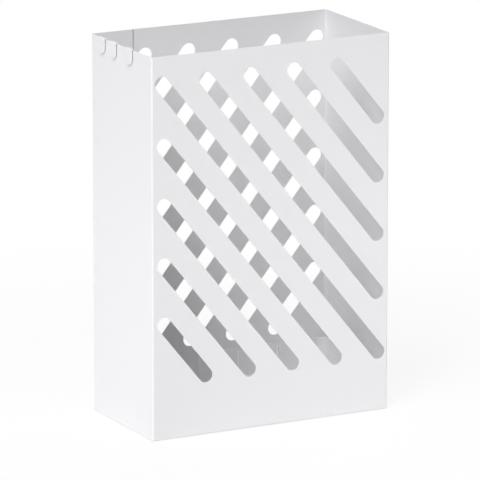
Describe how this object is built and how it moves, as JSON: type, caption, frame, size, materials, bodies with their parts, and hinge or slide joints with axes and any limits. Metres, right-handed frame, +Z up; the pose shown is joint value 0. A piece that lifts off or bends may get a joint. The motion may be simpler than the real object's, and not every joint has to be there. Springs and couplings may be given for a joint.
{
  "type": "umbrella stand",
  "caption": "Tall rectangular sheet-steel umbrella stand, open at the top, with diagonal slots front and back, three hooks over the rim of one side and a lift-out drip tray.",
  "frame": {"origin": "middle of the shell's footprint, on the floor between the four feet", "axes": "+Z up, -Y to the front wall, -X to the side wall that carries the hooks"},
  "size_m": [0.2818, 0.1411, 0.4111],
  "materials": {
    "shell_coat": "white satin powder coat",
    "base_coat": "white satin powder coat",
    "hook_coat": "white satin powder coat",
    "tray_plastic": "white moulded plastic, fine satin",
    "foot_rubber": "matte black rubber"
  },
  "bodies": {
    "stand": {"body_shell": "shell_coat", "base_plate": "base_coat", "foot_front_left": "foot_rubber", "foot_front_right": "foot_rubber", "foot_back_left": "foot_rubber", "foot_back_right": "foot_rubber"},
    "tray": {"drip_tray": "tray_plastic"},
    "hook_front": {"hook_front": "hook_coat"},
    "hook_middle": {"hook_middle": "hook_coat"},
    "hook_back": {"hook_back": "hook_coat"}
  },
  "joints": [
    {"name": "tray_lift", "type": "slide", "parent": "stand", "child": "tray", "axis": [0, 0, 1], "range_m": [0, 0.32]},
    {"name": "hook_front_slide", "type": "slide", "parent": "stand", "child": "hook_front", "axis": [0, 1, 0], "range_m": [-0.0386, 0.0108]},
    {"name": "hook_middle_slide", "type": "slide", "parent": "stand", "child": "hook_middle", "axis": [0, 1, 0], "range_m": [-0.0108, 0.0059]},
    {"name": "hook_back_slide", "type": "slide", "parent": "stand", "child": "hook_back", "axis": [0, 1, 0], "range_m": [-0.0059, 0.0155]}
  ]
}
